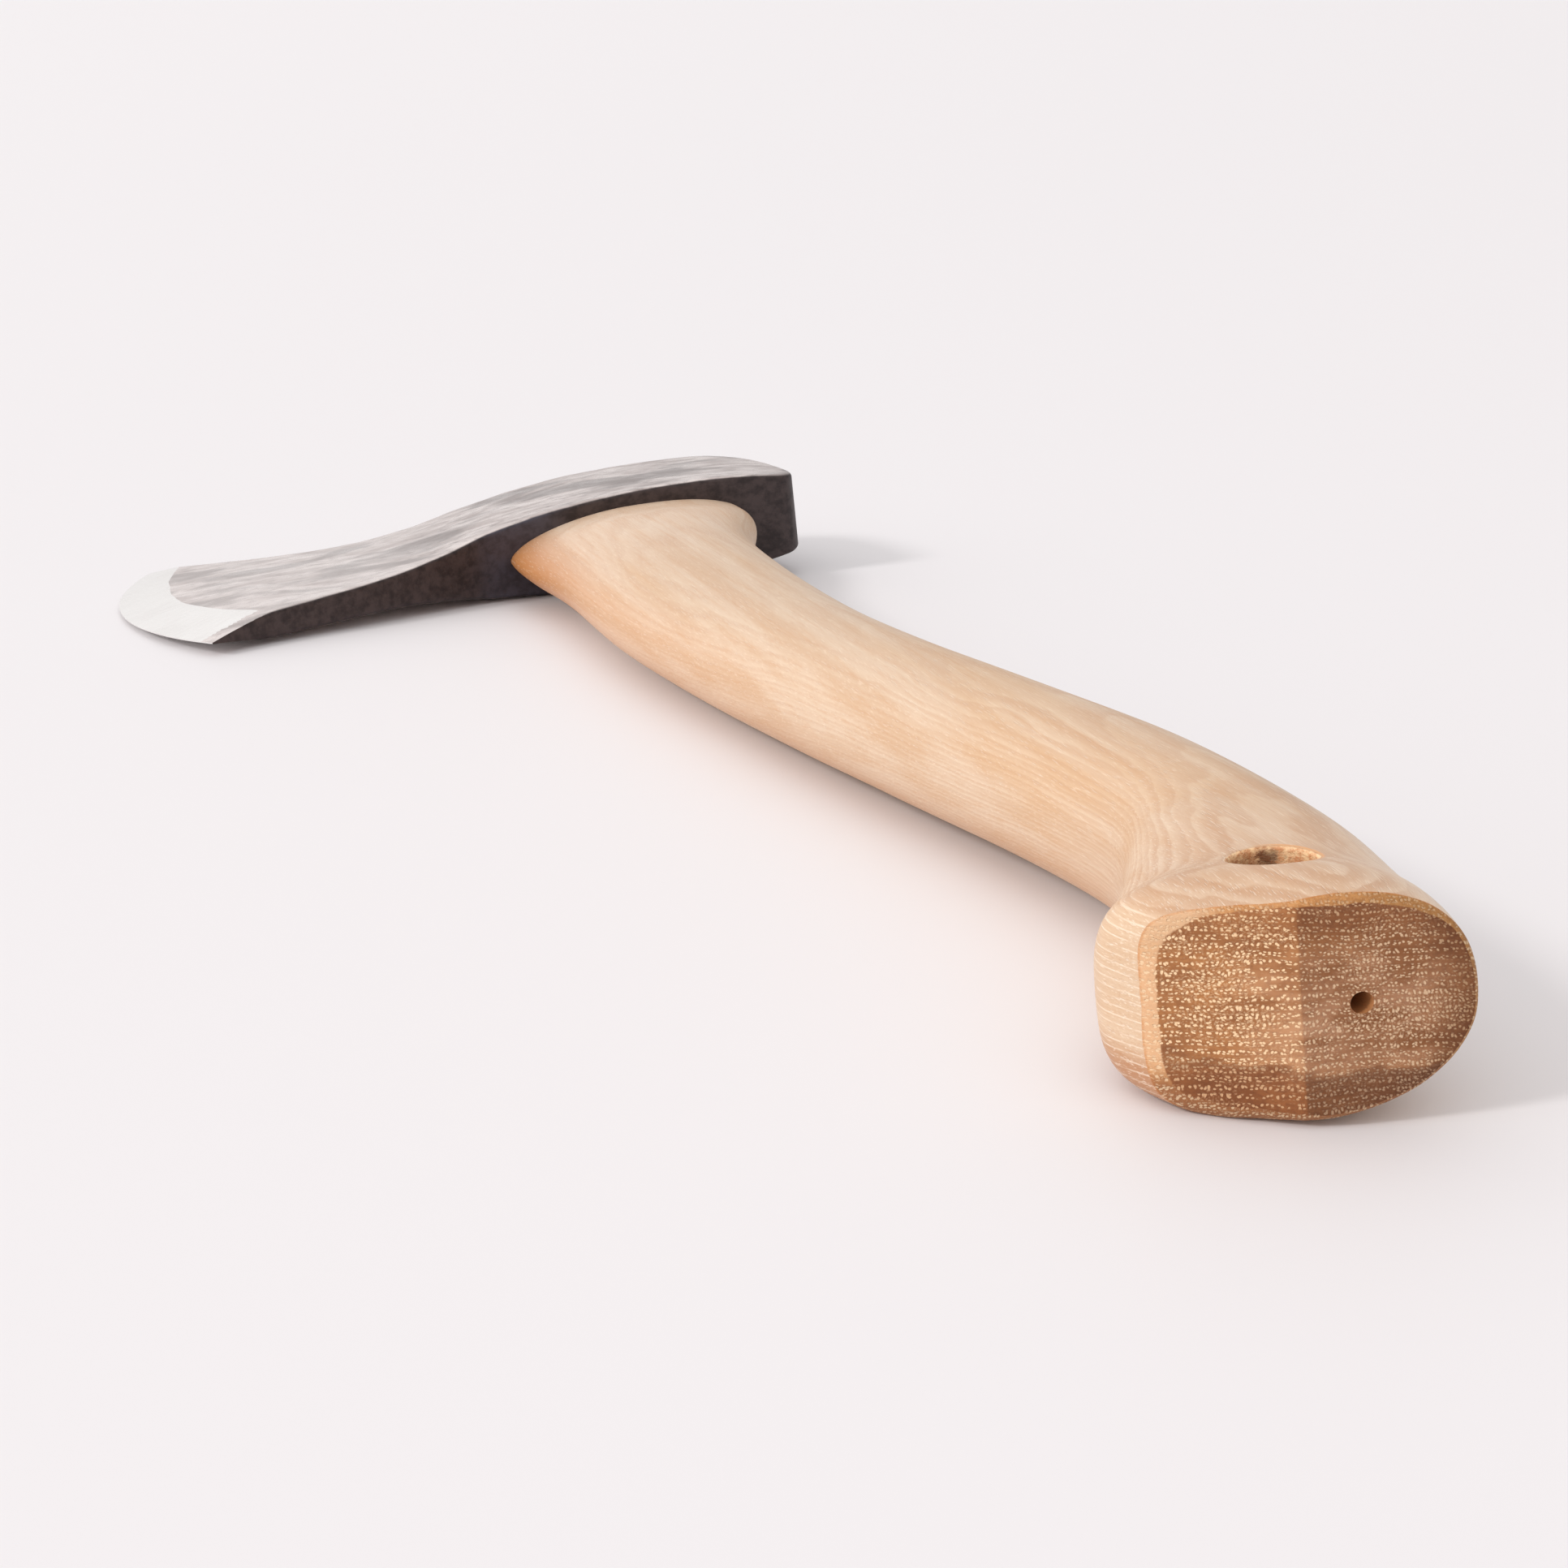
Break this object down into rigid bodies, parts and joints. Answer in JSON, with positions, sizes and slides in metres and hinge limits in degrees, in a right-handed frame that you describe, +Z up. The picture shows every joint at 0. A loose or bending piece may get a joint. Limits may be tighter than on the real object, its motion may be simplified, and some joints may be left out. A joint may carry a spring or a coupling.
{
  "type": "hatchet",
  "caption": "Small one-hand hatchet: forged steel head with a bearded blade, wedged on a curved ash handle whose knob has a lanyard hole.",
  "frame": {"origin": "middle of the footprint on the ground, with the tool lying on its side as it comes to rest on the cheek of the eye, the back of the bevel and the knob", "axes": "+Z up from the ground, +Y along the handle from the knob to the head, +X from the cutting edge to the poll"},
  "size_m": [0.1506, 0.3854, 0.0301],
  "materials": {
    "forged_steel": "forged, dark oxide skin with a light waxy sheen; ground and polished along the cutting edge",
    "ash_wood": "pale ash, lightly oiled, satin; brown open pores on the end grain of the knob",
    "wedge_wood": "plain hardwood, sawn flush with the top of the handle",
    "wedge_steel": "plain mild steel, hammered head"
  },
  "bodies": {
    "root": {"axe_head": "forged_steel", "handle": "ash_wood", "wood_wedge": "wedge_wood", "steel_wedge": "wedge_steel"}
  },
  "joints": []
}
